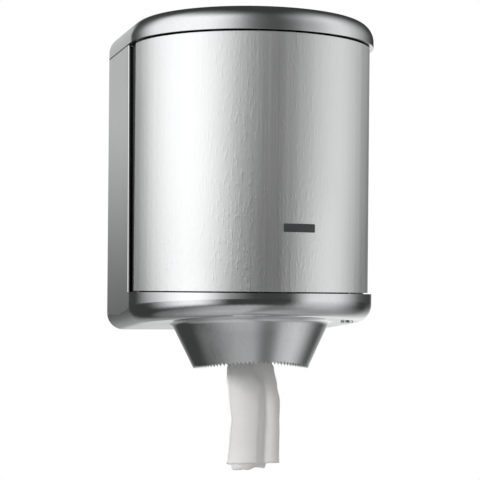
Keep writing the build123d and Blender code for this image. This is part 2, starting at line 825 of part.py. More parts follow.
parts = {
    "rear_casing": make_rear_casing(),
    "lid": make_lid(),
    "lid_gasket": top_strip(casing_top, lid_z),
    "lid_rivets": make_lid_rivets(),
    "tray": make_tray(),
    "funnel": make_funnel(),
    "paper_nozzle": make_paper_nozzle(),
    "nozzle_studs": make_nozzle_studs(),
    "nozzle_nuts": make_nozzle_nuts(),
    "roll_shelf": make_roll_shelf(),
    "shelf_bracket_left": make_shelf_bracket(-1),
    "shelf_bracket_right": make_shelf_bracket(1),
    "shelf_screws": make_shelf_screws(),
    "shelf_nuts": make_shelf_nuts(),
    "shelf_posts": make_shelf_posts(),
    "door_skin": make_door_skin(),
    "door_bottom_rib": make_door_bottom_rib(),
    "door_top_rib": make_rib(door_top - sheet, door_top),
    "door_hinge_stile": make_hinge_stile(),
    "door_latch_stile": make_stile(1, door_edge_y - sheet, door_edge_y),
    "badge_plate": make_badge_plate(),
    "hinge_plate_lower": hinge_plate(lower_plate_z(), seam_z - sheet, hinge_y + hinge_plate_back),
    "hinge_plate_upper": hinge_plate(lid_z + sheet, upper_plate_z(), hinge_y + hinge_plate_back),
    "hinge_pin_lower": make_pin(lower_plate_z(), lower_face, True),
    "hinge_pin_upper": make_pin(upper_plate_z(), upper_face, False),
    "hinge_bush_lower": make_bush(lower_face, True),
    "hinge_bush_upper": make_bush(upper_face, False),
    "lock_housing": make_lock_housing(),
    "lock_nut": make_lock_nut(),
    "lock_barrel": make_lock_barrel(),
    "lock_hook": make_lock_hook(),
    "lock_hook_screw": make_lock_hook_screw(),
    "latch_keeper": make_latch_keeper(),
    "keeper_rivets": make_keeper_rivets(),
    "latch_post": make_latch_post(),
    "door_bumpers": make_door_bumpers(),
    "hinge_side_seal": make_hinge_side_seal(),
    "paper_roll": make_paper_roll(),
    "paper_tail": make_paper_tail(),
}

os.makedirs("parts", exist_ok=True)
for name, shape in parts.items():
    export_step(shape, f"parts/{name}.step")
print("lock axis", tuple(lock_place.position), "hinge axis", (hinge_x, hinge_y))
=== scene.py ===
from math import asin, atan2, cos, hypot, pi, radians, sin, tan

import bmesh
import bpy
from bpy.props import FloatProperty, FloatVectorProperty, IntProperty, PointerProperty
from mathutils import Matrix, Vector, noise


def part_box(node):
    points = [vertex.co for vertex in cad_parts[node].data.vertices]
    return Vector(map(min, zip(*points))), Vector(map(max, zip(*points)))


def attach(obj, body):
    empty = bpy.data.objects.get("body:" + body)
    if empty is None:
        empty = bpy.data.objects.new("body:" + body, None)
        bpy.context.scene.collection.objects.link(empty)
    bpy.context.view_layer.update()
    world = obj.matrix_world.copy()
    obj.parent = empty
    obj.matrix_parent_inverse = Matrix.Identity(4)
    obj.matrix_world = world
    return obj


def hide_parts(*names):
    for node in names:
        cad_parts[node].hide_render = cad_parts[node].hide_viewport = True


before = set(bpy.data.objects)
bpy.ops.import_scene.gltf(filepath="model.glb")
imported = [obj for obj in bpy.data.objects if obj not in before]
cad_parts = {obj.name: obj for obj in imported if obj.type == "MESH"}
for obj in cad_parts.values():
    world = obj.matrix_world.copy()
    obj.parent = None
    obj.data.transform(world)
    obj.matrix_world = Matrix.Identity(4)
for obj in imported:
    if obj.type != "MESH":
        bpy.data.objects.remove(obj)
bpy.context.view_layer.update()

bl_info = {
    "name": "Centrefeed roll dispenser",
    "version": (1, 0, 0),
    "blender": (4, 5, 0),
    "location": "View3D > Sidebar > Dispenser",
    "description": "Dresses a wall dispenser for centrefeed paper rolls with its finished surfaces",
    "category": "Add Mesh",
}

UP = (0, 0, 1)
# Vertices nearer than MERGE become one, and NEAR is how exactly a vertex has to lie on a plane.
MERGE = 0.000002
NEAR = 0.000001

CASING_LOW, CASING_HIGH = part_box("rear_casing")
LID_LOW, LID_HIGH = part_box("lid")
DOOR_LOW, DOOR_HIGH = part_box("door_skin")
ROLL_LOW, ROLL_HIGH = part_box("paper_roll")
TAIL_LOW, TAIL_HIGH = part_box("paper_tail")
AXIS_Y = (ROLL_LOW.y + ROLL_HIGH.y) / 2

# Seam between tray and casing: it starts just under the door, falls upright in line with the seal, and
# then slants back to the casing's lower edge, which it meets SEAM_BEND behind the roll's axis.
DOOR_GAP = 0.0012
SEAM_FALL = 0.0167
SEAM_BEND = 0.049
SEAM_FRONT_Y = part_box("hinge_side_seal")[0].y
SEAM_HIGH = DOOR_LOW.z - DOOR_GAP
SEAM_FRONT_Z = SEAM_HIGH - SEAM_FALL


class DispenserSizes(bpy.types.PropertyGroup):
    """Sizes of the pieces that are made here, in metres."""

    sheet: FloatProperty(
        name="Sheet", description="Thickness of the steel sheet", default=0.0012, unit="LENGTH")
    door_sheet: FloatProperty(
        name="Door sheet", description="Thickness of the door's steel sheet",
        default=0.001, unit="LENGTH")
    edge_break: FloatProperty(
        name="Edge break", description="Width of the softened edge on cut sheet",
        default=0.00035, unit="LENGTH")
    flange: FloatProperty(
        name="Flange", description="Width of the flange that turns inwards",
        default=0.0155, unit="LENGTH")
    hem_radius: FloatProperty(
        name="Hem radius", description="Radius of the rolled hem on the casing",
        default=0.0013, unit="LENGTH")
    wall_screws: FloatProperty(
        name="Wall screws", description="Distance between the wall screws",
        default=0.150, unit="LENGTH")
    wall_hole: FloatProperty(
        name="Wall hole", description="Radius of the wall screws' holes",
        default=0.0032, unit="LENGTH")
    funnel_top: FloatProperty(
        name="Funnel top", description="Radius of the funnel where its cone meets its flange",
        default=0.08135, unit="LENGTH")
    funnel_flange: FloatProperty(
        name="Funnel flange", description="Width of the funnel's flange", default=0.010, unit="LENGTH")
    funnel_taper: FloatProperty(
        name="Funnel taper", description="How much the funnel's radius shrinks",
        default=0.0223, unit="LENGTH")
    funnel_bend: FloatProperty(
        name="Funnel bend", description="Radius of the bend under the flange",
        default=0.007, unit="LENGTH")
    funnel_forward: FloatProperty(
        name="Funnel forward", description="How far the funnel stands before the roll's axis",
        default=0.008, unit="LENGTH")
    rim_side: FloatProperty(
        name="Rim at the sides", description="Depth of the funnel at its sides",
        default=0.0466, unit="LENGTH")
    rim_front: FloatProperty(
        name="Rim in front", description="Depth of the funnel in front", default=0.0438, unit="LENGTH")
    rim_back: FloatProperty(
        name="Rim at the back", description="Depth of the funnel at the back",
        default=0.0386, unit="LENGTH")
    tooth_pitch: FloatProperty(
        name="Tooth pitch", description="Distance between the funnel's teeth",
        default=0.0040, unit="LENGTH")
    tooth_depth: FloatProperty(
        name="Tooth depth", description="Depth of the notches between the teeth",
        default=0.0028, unit="LENGTH")
    floor_depth: FloatProperty(
        name="Floor depth", description="How far the tray's underside lies below the seam",
        default=0.03175, unit="LENGTH")
    floor_slope: FloatProperty(
        name="Floor slope", description="Slope of the tray's underside", default=radians(4.4),
        unit="ROTATION")
    lid_edge: FloatProperty(
        name="Lid edge", description="Radius of the lid's upper edge", default=0.019, unit="LENGTH")
    turn_steps: IntProperty(
        name="Turn steps", description="Steps in the half round of door and lid", default=128)
    roll_bore: FloatProperty(
        name="Roll bore", description="Radius of the roll's bore", default=0.032, unit="LENGTH")
    ring_pitch: FloatProperty(
        name="Ring pitch", description="Distance between the rings that show on the roll's ends",
        default=0.0036, unit="LENGTH")
    ring_depth: FloatProperty(
        name="Ring depth", description="Depth of the rings on the roll's ends",
        default=0.0005, unit="LENGTH")
    roll_end: FloatProperty(
        name="Roll end", description="Where round the roll its outer end lies, from the right side",
        default=radians(-72), unit="ROTATION")
    outer_step: FloatProperty(
        name="Outer step", description="Height of the step at the roll's outer end",
        default=0.0007, unit="LENGTH")
    paper_width: FloatProperty(
        name="Paper width", description="Width of the paper before it is gathered",
        default=0.205, unit="LENGTH")
    paper_gauge: FloatProperty(
        name="Paper gauge", description="Thickness of the paper's plies together",
        default=0.00035, unit="LENGTH")


class DispenserColours(bpy.types.PropertyGroup):
    """Colours of the finishes, as linear values."""

    brushed: FloatVectorProperty(
        name="Brushed steel", description="Colour of the door's steel", subtype="COLOR", size=4,
        default=(0.82, 0.825, 0.83, 1.0))
    satin: FloatVectorProperty(
        name="Satin steel", description="Colour of lid, casing, tray and funnel", subtype="COLOR", size=4,
        default=(0.66, 0.675, 0.68, 1.0))
    inner: FloatVectorProperty(
        name="Inner steel", description="Colour of the sheet inside", subtype="COLOR", size=4,
        default=(0.56, 0.57, 0.58, 1.0))
    paper: FloatVectorProperty(
        name="Paper", description="Colour of the paper", subtype="COLOR", size=4,
        default=(0.87, 0.862, 0.85, 1.0))


class DispenserStage(bpy.types.PropertyGroup):
    """Camera, light and floor."""

    camera_place: FloatVectorProperty(
        name="Camera place", description="Where the camera stands", subtype="TRANSLATION", size=3,
        default=(-0.4305, -1.7035, -0.127))
    camera_turn: FloatProperty(
        name="Camera turn", description="Turn of the camera round the upright axis",
        default=radians(-15.2), unit="ROTATION")
    camera_roll: FloatProperty(
        name="Camera roll", description="Roll of the camera", default=radians(0.5), unit="ROTATION")
    camera_lens: FloatProperty(
        name="Camera lens", description="Focal length in millimetres", default=118.35)
    camera_shift: FloatVectorProperty(
        name="Camera shift", description="Shift of the lens to the right and up", size=2,
        default=(-0.0178, 0.1106))
    floor_drop: FloatProperty(
        name="Floor drop", description="How far below the paper the floor lies",
        default=0.32, unit="LENGTH")
    floor_radius: FloatProperty(
        name="Floor radius", description="Radius of the pale floor", default=0.55, unit="LENGTH")
    lamp_place: FloatVectorProperty(
        name="Lamp place", description="Where the key lamp stands", subtype="TRANSLATION", size=3,
        default=(-2.7, -1.0, 0.9))
    lamp_aim: FloatProperty(
        name="Lamp aim", description="Height on the roll's axis that the key lamp points at",
        default=-0.05, unit="LENGTH")
    lamp_width: FloatProperty(
        name="Lamp width", description="Width and height of the key lamp", default=1.0, unit="LENGTH")
    lamp_power: FloatProperty(
        name="Lamp power", description="Power of the key lamp in watts", default=98.0)


def add_node(tree, kind, values=None, links=None, **settings):
    """Node with its settings, its fixed values, and links into its sockets."""
    made = tree.nodes.new(kind)
    for key, value in settings.items():
        setattr(made, key, value)
    for key, value in (values or {}).items():
        made.inputs[key].default_value = value
    for key, source in (links or {}).items():
        tree.links.new(source, made.inputs[key])
    return made


def add_math(tree, operation, *values):
    """Math node; its values are numbers or sockets."""
    made = add_node(tree, "ShaderNodeMath", operation=operation)
    for socket, value in zip(made.inputs, values):
        if isinstance(value, (int, float)):
            socket.default_value = value
        else:
            tree.links.new(value, socket)
    return made.outputs[0]


def add_range(tree, source, low, high, out_low=0.0, out_high=1.0, smooth=False):
    """Value carried from one range to another, and held at the ends."""
    made = add_node(
        tree, "ShaderNodeMapRange",
        {"From Min": low, "From Max": high, "To Min": out_low, "To Max": out_high},
        {"Value": source}, interpolation_type="SMOOTHSTEP" if smooth else "LINEAR")
    return made.outputs["Result"]


def add_mix(tree, factor, first, second):
    """Colour between two fixed colours, by a socket."""
    made = add_node(tree, "ShaderNodeMix", data_type="RGBA")
    factor_in, first_in, second_in = [s for s in made.inputs if s.enabled]
    tree.links.new(factor, factor_in)
    first_in.default_value = first
    second_in.default_value = second
    return [s for s in made.outputs if s.enabled][0]


def add_noise(tree, stretch, detail=2.0, roughness=0.5):
    """Noise on Object coordinates, stretched by a count of waves per metre along X, Y and Z."""
    place = add_node(tree, "ShaderNodeTexCoord").outputs["Object"]
    scaled = add_node(tree, "ShaderNodeMapping", {"Scale": stretch}, {"Vector": place})
    made = add_node(
        tree, "ShaderNodeTexNoise", {"Scale": 1.0, "Detail": detail, "Roughness": roughness},
        {"Vector": scaled.outputs["Vector"]})
    return made.outputs["Fac"]


def add_bump(tree, shader, height, strength, distance):
    made = add_node(tree, "ShaderNodeBump", {"Strength": strength, "Distance": distance}, {"Height": height})
    tree.links.new(made.outputs["Normal"], shader.inputs["Normal"])


def new_material(name, values):
    """Material with its shader's fixed values; returns material, node tree and shader."""
    made = bpy.data.materials.new(name)
    made.use_nodes = True
    shader = made.node_tree.nodes["Principled BSDF"]
    for key, value in values.items():
        shader.inputs[key].default_value = value
    return made, made.node_tree, shader


def tint(colour, factor):
    return tuple(min(1.0, c * factor) for c in colour[:3]) + (1.0,)


def shade_by(tree, shader, source, dark, pale):
    """Let a noise carry the base colour from a dark tint to a pale one."""
    shade = add_mix(tree, add_range(tree, source, 0.3, 0.7), dark, pale)
    tree.links.new(shade, shader.inputs["Base Color"])


def speck_and_cloud(tree, speck_waves, cloud_waves):
    """Fine specks, and their mean with wide clouds."""
    speck = add_noise(tree, (speck_waves,) * 3)
    cloud = add_noise(tree, (cloud_waves,) * 3)
    return speck, add_math(tree, "MULTIPLY", add_math(tree, "ADD", speck, cloud), 0.5)


def steel(name, colour, grain, streak, rough, bump, turned=0.0, strokes=None, wavy=0.0):
    """Steel sheet with a fine grain, wider streaks, faint clouds in its polish and, on brushed steel,
    short strokes that bend what it mirrors."""
    fine_share, wide_share, cloud_share = 0.6, 0.4, 0.5
    made, tree, shader = new_material(name, {"Metallic": 1.0, "Anisotropic": turned})
    fine = add_noise(tree, grain, 3.0, 0.6)
    wide = add_noise(tree, streak)
    cloud = add_noise(tree, (9.0, 9.0, 7.0))
    mixed = add_math(
        tree, "ADD", add_math(tree, "MULTIPLY", fine, fine_share),
        add_math(tree, "MULTIPLY", wide, wide_share))
    shade_by(tree, shader, mixed, tint(colour, 0.93), tint(colour, 1.06))
    polish = add_math(tree, "ADD", mixed, add_math(tree, "MULTIPLY", cloud, cloud_share))
    tree.links.new(add_range(tree, polish, 0.5, 1.0, rough - 0.04, rough + 0.05), shader.inputs["Roughness"])
    relief = fine
    if strokes:
        sparse = add_range(tree, add_noise(tree, strokes), 0.48, 0.78, smooth=True)
        relief = add_math(tree, "ADD", add_math(tree, "MULTIPLY", sparse, wavy), fine)
    add_bump(tree, shader, relief, bump, 0.00004)
    if turned:
        upright = add_node(tree, "ShaderNodeTangent", direction_type="RADIAL", axis="Z")
        tree.links.new(upright.outputs["Tangent"], shader.inputs["Tangent"])
    return made


def plain(name, colour, rough, mottle, metal, bump):
    """Plastic, rubber, enamel, bronze or plated metal with a fine mottle."""
    made, tree, shader = new_material(name, {"Metallic": metal})
    speck, both = speck_and_cloud(tree, 900.0, 30.0)
    shade_by(tree, shader, both, tint(colour, 1 - mottle), tint(colour, 1 + mottle))
    tree.links.new(add_range(tree, both, 0.3, 0.7, rough * 0.88, rough * 1.1), shader.inputs["Roughness"])
    add_bump(tree, shader, speck, bump, 0.0001)
    return made


def paper(name, colour):
    """Soft crepe paper with its fine creases across the web."""
    made, tree, shader = new_material(name, {"Roughness": 0.92, "Specular IOR Level": 0.2})
    crepe = add_noise(tree, (300.0, 300.0, 1600.0), 3.0, 0.6)
    both = speck_and_cloud(tree, 700.0, 40.0)[1]
    shade_by(tree, shader, both, tint(colour, 0.96), tint(colour, 1.03))
    add_bump(tree, shader, crepe, 0.35, 0.0002)
    return made


def fading_floor(radius):
    """Pale floor that takes the shadow in its middle and fades to nothing at its rim."""
    fade_from, fade_to = 0.45 * radius, 0.98 * radius
    made, tree, shader = new_material("pale_floor", {"Base Color": (0.86, 0.86, 0.86, 1), "Roughness": 0.8})
    place = add_node(tree, "ShaderNodeTexCoord").outputs["Object"]
    shifted = add_node(
        tree, "ShaderNodeVectorMath", {1: (0.0, AXIS_Y, 0.0)}, {0: place}, operation="SUBTRACT").outputs[0]
    flat = add_node(
        tree, "ShaderNodeVectorMath", {1: (1.0, 1.0, 0.0)}, {0: shifted}, operation="MULTIPLY").outputs[0]
    away = add_node(tree, "ShaderNodeVectorMath", links={0: flat}, operation="LENGTH").outputs["Value"]
    cover = add_range(tree, away, fade_from, fade_to, 1.0, 0.0, smooth=True)
    tree.links.new(cover, shader.inputs["Alpha"])
    return made


def make_materials():
    """All finishes by their slots; grain, streak and strokes are waves per metre along X, Y and Z."""
    look = bpy.context.scene.dispenser_colours
    return {
        "brushed_steel": steel(
            "door_brushed_steel", look.brushed, grain=(1100, 1100, 8), streak=(160, 160, 1.6),
            rough=0.315, bump=0.12, turned=0.8, strokes=(420, 420, 120), wavy=16.0),
        "satin_steel": steel(
            "satin_steel_sheet", look.satin, grain=(900, 900, 240), streak=(60, 60, 20),
            rough=0.14, bump=0.05),
        "funnel_steel": steel(
            "funnel_steel_sheet", tint(look.satin, 1.16), grain=(700, 700, 60), streak=(60, 60, 8),
            rough=0.17, bump=0.05),
        "inner_steel": steel(
            "inner_steel_sheet", look.inner, grain=(700, 700, 60), streak=(50, 50, 10),
            rough=0.34, bump=0.05),
        "bright_steel": plain(
            "plated_steel", (0.72, 0.73, 0.74), rough=0.28, mottle=0.03, metal=1.0, bump=0.03),
        # The bronze is painted far darker than bronze: its colour stands in as painted shade for the dark
        # gap where the bush shows.
        "bronze": plain(
            "bronze_darkened_as_gap_shade", (0.13, 0.105, 0.08), rough=0.5, mottle=0.08, metal=1.0, bump=0.25),
        "black_rubber": plain(
            "black_rubber", (0.022, 0.022, 0.023), rough=0.55, mottle=0.15, metal=0.0, bump=0.25),
        "white_plastic": plain(
            "moulded_white_plastic", (0.80, 0.81, 0.80), rough=0.38, mottle=0.02, metal=0.0, bump=0.08),
        "badge_enamel": plain(
            "dark_badge_enamel", (0.055, 0.058, 0.062), rough=0.36, mottle=0.08, metal=0.0, bump=0.1),
        "paper": paper("soft_paper", look.paper),
    }


finishes = {}


def material_for(slot):
    """Material of one finish; all are made the first time that one is asked for."""
    if not finishes:
        finishes.update(make_materials())
    return finishes[slot]


def finish_piece(bm, name, body, slot, nodes, crease, clean=True):
    """Turn a bmesh into a piece that rides on a body and stands for its CAD nodes."""
    if clean:
        bmesh.ops.remove_doubles(bm, verts=bm.verts, dist=MERGE)
        bmesh.ops.recalc_face_normals(bm, faces=bm.faces)
    mesh = bpy.data.meshes.new(name)
    bm.to_mesh(mesh)
    bm.free()
    mesh.shade_smooth()
    mesh.set_sharp_from_angle(angle=radians(crease))
    piece = bpy.data.objects.new(name, mesh)
    bpy.context.scene.collection.objects.link(piece)
    mesh.materials.append(material_for(slot))
    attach(piece, body)
    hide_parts(*nodes)
    return piece


def add_wall(piece, name, thickness, offset):
    """Solidify a surface: offset is -1 for inwards, 1 for outwards and 0 for half each way."""
    wall = piece.modifiers.new(name, "SOLIDIFY")
    wall.thickness = thickness
    wall.offset = offset
    return wall


def soften_edges(piece, width, segments):
    soft = piece.modifiers.new("soft_edges", "BEVEL")
    soft.width = width
    soft.segments = segments
    soft.limit_method = "ANGLE"
    soft.angle_limit = radians(50)
    return soft


def thicken(piece, thickness, edge_break):
    """Give a sheet its thickness and soften its cut edges."""
    add_wall(piece, "wall", thickness, -1.0).use_even_offset = True
    soften_edges(piece, edge_break, 2).harden_normals = True


def chain(bm, points, closed=False):
    """Vertices joined by edges, in order."""
    verts = [bm.verts.new(p) for p in points]
    for first, second in zip(verts, verts[1:]):
        bm.edges.new((first, second))
    if closed:
        bm.edges.new((verts[-1], verts[0]))
    return verts


def only(geom, kind):
    return [g for g in geom if isinstance(g, kind)]


def pull(bm, edges, step):
    """Extrude edges and move the new ones by a step; returns the new edges."""
    made = bmesh.ops.extrude_edge_only(bm, edges=edges)["geom"]
    bmesh.ops.translate(bm, verts=only(made, bmesh.types.BMVert), vec=step)
    return only(made, bmesh.types.BMEdge)


def spin(bm, geom, centre, axis, angle, steps, closed=False):
    """Spin geometry round an axis; returns its last copy."""
    made = bmesh.ops.spin(
        bm, geom=geom, cent=centre, axis=axis, dvec=(0, 0, 0), angle=angle, steps=steps,
        use_merge=closed, use_normal_flip=False, use_duplicate=False)
    return made["geom_last"]


def lathe(bm, outline, y, steps):
    """Turn a closed outline of radius and height fully round an upright axis at x 0."""
    chain(bm, [(radius, y, z) for radius, z in outline], closed=True)
    spin(bm, list(bm.verts) + list(bm.edges), (0, y, 0), UP, 2 * pi, steps, closed=True)


def sweep_round_front(bm, back, steps):
    """Carry a profile at the left back along the left side, round the front and back along the right."""
    profile = list(bm.edges)
    side = pull(bm, profile, (0, AXIS_Y - back, 0))
    last = spin(bm, side + list({v for e in side for v in e.verts}), (0, AXIS_Y, 0), UP, pi, steps)
    pull(bm, only(last, bmesh.types.BMEdge), (0, back - AXIS_Y, 0))


def make_lid(size):
    """Lid with a rounded upper edge, a closed back, and a flange that turns inwards all round its foot."""
    half = LID_HIGH.x
    low, top, back = LID_LOW.z, LID_HIGH.z, LID_HIGH.y
    edge, edge_steps = size.lid_edge, 16
    # A narrow flat strip beside the rounded edge keeps its soft shading off the lid's top.
    flat_start = 0.001
    bm = bmesh.new()
    foot = chain(bm, [(size.flange - half, back, low), (-half, back, low), (-half, back, top - edge)])
    arc = spin(bm, [foot[-1]], (edge - half, back, top - edge), (0, 1, 0), pi / 2, edge_steps)
    end = only(arc, bmesh.types.BMVert)[0]
    inner = bm.verts.new((edge - half + flat_start, back, top))
    middle = bm.verts.new((0, back, top))
    bm.edges.new((end, inner))
    bm.edges.new((inner, middle))
    sweep_round_front(bm, back, size.turn_steps)
    bmesh.ops.remove_doubles(bm, verts=bm.verts, dist=MERGE)
    at_back = {v for v in bm.verts if abs(v.co.y - back) < NEAR}
    at_foot = {v for v in bm.verts if v.co.z < low + NEAR}
    wall = [e for e in bm.edges
            if e.is_boundary and at_back.issuperset(e.verts) and not at_foot.issuperset(e.verts)]
    ends = [v for v in bm.verts if v in at_back and v in at_foot and abs(abs(v.co.x) - half) < NEAR]
    foot_edge = bm.edges.new(ends)
    bmesh.ops.contextual_create(bm, geom=wall + [foot_edge])
    pull(bm, [foot_edge], (0, -size.flange, 0))
    piece = finish_piece(bm, "lid_shell", "housing", "satin_steel", ["lid"], crease=30)
    thicken(piece, size.sheet, size.edge_break)


def door_radius():
    """Outer radius of the half-round door."""
    return hypot(DOOR_HIGH.x, DOOR_HIGH.y - AXIS_Y)


def make_door(size):
    """Half-round door, in rows so that its shading stays even."""
    low, high, edge_y = DOOR_LOW.z, DOOR_HIGH.z, DOOR_HIGH.y
    rows = 24
    radius = door_radius()
    start = atan2(edge_y - AXIS_Y, -DOOR_HIGH.x)
    x, y = radius * cos(start), AXIS_Y + radius * sin(start)
    sweep = 2 * (pi / 2 - atan2(AXIS_Y - edge_y, DOOR_HIGH.x))
    bm = bmesh.new()
    verts = chain(bm, [(x, y, low + (high - low) * i / rows) for i in range(rows + 1)])
    spin(bm, verts + list(bm.edges), (0, AXIS_Y, 0), UP, sweep, size.turn_steps)
    piece = finish_piece(bm, "door_panel", "door", "brushed_steel", ["door_skin"], crease=30)
    thicken(piece, size.door_sheet, size.edge_break)


def make_casing(size):
    """Sides, back and top flange in one bent sheet, with a rolled hem on each front edge."""
    half, low, top = CASING_HIGH.x, CASING_LOW.z, CASING_HIGH.z
    roll, roll_angle, roll_steps = size.hem_radius, radians(225), 14
    # The front edge leans: its foot and its head stand this far behind the roll's axis.
    foot_behind, head_behind = 0.002, 0.009
    # A narrow flat strip beside the hem keeps its soft shading off the side.
    flat_end = 0.0008
    foot_y, head_y = AXIS_Y + foot_behind + roll, AXIS_Y + head_behind + roll
    bm = bmesh.new()
    outline = [
        (foot_y + flat_end, SEAM_HIGH), (SEAM_FRONT_Y, SEAM_HIGH), (SEAM_FRONT_Y, SEAM_FRONT_Z),
        (AXIS_Y + SEAM_BEND, low), (0, low), (0, top), (head_y + flat_end, top)]
    for hand in (-1, 1):
        verts = [bm.verts.new((hand * half, y, z)) for y, z in outline]
        bm.faces.new(verts)
        hem = pull(bm, [bm.edges.get((verts[0], verts[-1]))], (0, -flat_end, 0))[0]
        foot, head = sorted(hem.verts, key=lambda vert: vert.co.z)
        centre = (hand * (half - roll), foot.co.y, foot.co.z)
        spin(bm, [foot, head, hem], centre, head.co - foot.co, hand * -roll_angle, roll_steps)
    border = chain(bm, [(-half, 0, low), (half, 0, low), (half, 0, top), (-half, 0, top)], closed=True)
    holes = []
    for x in (-size.wall_screws / 2, size.wall_screws / 2):
        for z in (-size.wall_screws / 2, size.wall_screws / 2):
            made = bmesh.ops.create_circle(
                bm, segments=32, radius=size.wall_hole,
                matrix=Matrix.Translation((x, 0, z)) @ Matrix.Rotation(pi / 2, 4, "X"))
            holes += made["verts"]
    edges = [e for e in bm.edges if all(v in border or v in holes for v in e.verts)]
    bmesh.ops.triangle_fill(bm, use_beauty=True, use_dissolve=False, edges=edges)
    width = size.flange
    rim = [
        (-half, head_y), (width - half, head_y), (width - half, -width), (half - width, -width),
        (half - width, head_y), (half, head_y), (half, 0), (-half, 0)]
    bm.faces.new([bm.verts.new((x, y, top)) for x, y in rim])
    piece = finish_piece(bm, "casing_shell", "housing", "satin_steel", ["rear_casing"], crease=30)
    thicken(piece, size.sheet, size.edge_break)


def make_badge():
    """Small dark plate with rounded corners that lies on the door's curve; bare."""
    corner, corner_steps = 0.0012, 6
    cuts = 24
    # The plate is a little thinner than the CAD's, so that it stays inside its box.
    thickness_share = 0.98
    low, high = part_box("badge_plate")
    inner, outer = door_radius(), hypot(low.x, low.y - AXIS_Y)
    left, right = asin(low.x / outer), asin(high.x / outer)
    half_x, half_z = inner * (right - left) / 2, (high.z - low.z) / 2
    middle_z = (low.z + high.z) / 2
    outline = []
    for side_x, side_z, start in ((1, 1, 0), (-1, 1, 90), (-1, -1, 180), (1, -1, 270)):
        for i in range(corner_steps + 1):
            angle = radians(start + 90 * i / corner_steps)
            outline.append((
                side_x * (half_x - corner) + corner * cos(angle),
                side_z * (half_z - corner) + corner * sin(angle)))
    bm = bmesh.new()
    bm.faces.new([bm.verts.new((x, 0, z)) for x, z in outline])
    for i in range(1, cuts):
        bmesh.ops.bisect_plane(
            bm, geom=list(bm.verts) + list(bm.edges) + list(bm.faces),
            plane_co=(half_x * (2 * i / cuts - 1), 0, 0), plane_no=(1, 0, 0))
    for vert in bm.verts:
        angle = (left + right) / 2 + vert.co.x / inner
        vert.co = Vector((inner * sin(angle), AXIS_Y - inner * cos(angle), middle_z + vert.co.z))
    piece = finish_piece(bm, "badge_blank", "door", "badge_enamel", ["badge_plate"], crease=30)
    face = piece.data.polygons[0]
    outwards = face.normal.dot(Vector(face.center) - Vector((0, AXIS_Y, face.center.z))) > 0
    add_wall(piece, "wall", (outer - inner) * thickness_share, 1.0 if outwards else -1.0)
    soften_edges(piece, 0.0003, 3)


def funnel_rows(size):
    """Rows of the funnel's wall in its own frame: radius, height and kind, from flange to teeth."""
    bend, bend_steps = size.funnel_bend, 8
    lean = atan2(size.funnel_taper, size.rim_side)
    turned = pi / 2 - lean
    centre = size.funnel_top + bend * tan(turned / 2)
    flange_middle = size.funnel_top + size.funnel_flange / 2 + 0.003
    # On the cone three rows keep the shading even, and the last two are moved to the rim's curve.
    cone = (
        (-0.014, ""), (-0.024, ""), (-0.034, ""), (-0.036, "above the teeth"), (-size.rim_side, "teeth"))
    rows = [(size.funnel_top + size.funnel_flange, 0.0, ""), (flange_middle, 0.0, "")]
    for i in range(bend_steps + 1):
        angle = turned * i / bend_steps
        rows.append((centre - bend * sin(angle), bend * (cos(angle) - 1), ""))
    for z, kind in cone:
        rows.append((size.funnel_top + z * tan(lean), z, kind))
    return rows


def rim_depth(size, turn):
    """Depth of the funnel at one angle round it, from its depths in front, at the sides and behind."""
    y = sin(turn)
    front, back, side = size.rim_front, size.rim_back, size.rim_side
    return side + (back - front) / 2 * y + ((back + front) / 2 - side) * y * y


def on_floor(size):
    """Placement of the funnel on the tray's underside, which slopes up to the front."""
    y = AXIS_Y - size.funnel_forward
    z = SEAM_HIGH - size.floor_depth + size.funnel_forward * tan(size.floor_slope)
    return Matrix.Translation((0, y, z)) @ Matrix.Rotation(-size.floor_slope, 4, "X")


def make_funnel(size):
    """Steel cone with a flange that fills the tray's opening and a serrated rim to tear the paper on."""
    # Share of the sheet's thickness that is left at the teeth.
    teeth_wall = 0.35
    # The row above the teeth follows the rim at this many times their depth.
    row_above = 1.6
    # The rows at the rim are found by their radius, rounded to these digits, and only below this height.
    digits, rim_zone = 5, -0.030
    # The teeth's depth varies by this share, in waves whose length falls with the second number.
    uneven_share, uneven_waves = 0.4, 40
    rows = funnel_rows(size)
    outer, inner, kinds = [], [], {}
    for i, (radius, z, kind) in enumerate(rows):
        before, after = rows[max(i - 1, 0)], rows[min(i + 1, len(rows) - 1)]
        along = Vector((after[0] - before[0], after[1] - before[1])).normalized()
        shift = Vector((along.y, -along.x)) * (size.sheet * (teeth_wall if kind == "teeth" else 1.0))
        outer.append((radius, z))
        inner.append((radius + shift.x, z + shift.y))
        if kind:
            kinds[round(radius, digits)] = (kind, z)
            kinds[round(radius + shift.x, digits)] = (kind, z)
    teeth = round(2 * pi * rows[-1][0] / size.tooth_pitch)
    bm = bmesh.new()
    lathe(bm, outer + inner[::-1], 0, 4 * teeth)
    slant = size.funnel_taper / size.rim_side
    for vert in bm.verts:
        radius = hypot(vert.co.x, vert.co.y)
        if round(radius, digits) not in kinds or vert.co.z > rim_zone:
            continue
        kind, row_z = kinds[round(radius, digits)]
        turn = atan2(vert.co.y, vert.co.x)
        depth = rim_depth(size, turn)
        if kind == "teeth":
            phase = abs((turn / (2 * pi) * teeth) % 1.0 - 0.5) * 2
            place = Vector((uneven_waves * cos(turn), uneven_waves * sin(turn), 2.0))
            uneven = 1 + uneven_share * noise.noise(place)
            depth -= size.tooth_depth * (1 - phase) * uneven
        else:
            depth -= row_above * size.tooth_depth
        fall = -depth - row_z
        radius += fall * slant
        vert.co = Vector((radius * cos(turn), radius * sin(turn), vert.co.z + fall))
    bmesh.ops.transform(bm, matrix=on_floor(size), verts=bm.verts)
    piece = finish_piece(bm, "funnel_cone", "housing", "satin_steel", ["funnel"], crease=35)
    piece.data.materials[0] = material_for("funnel_steel")


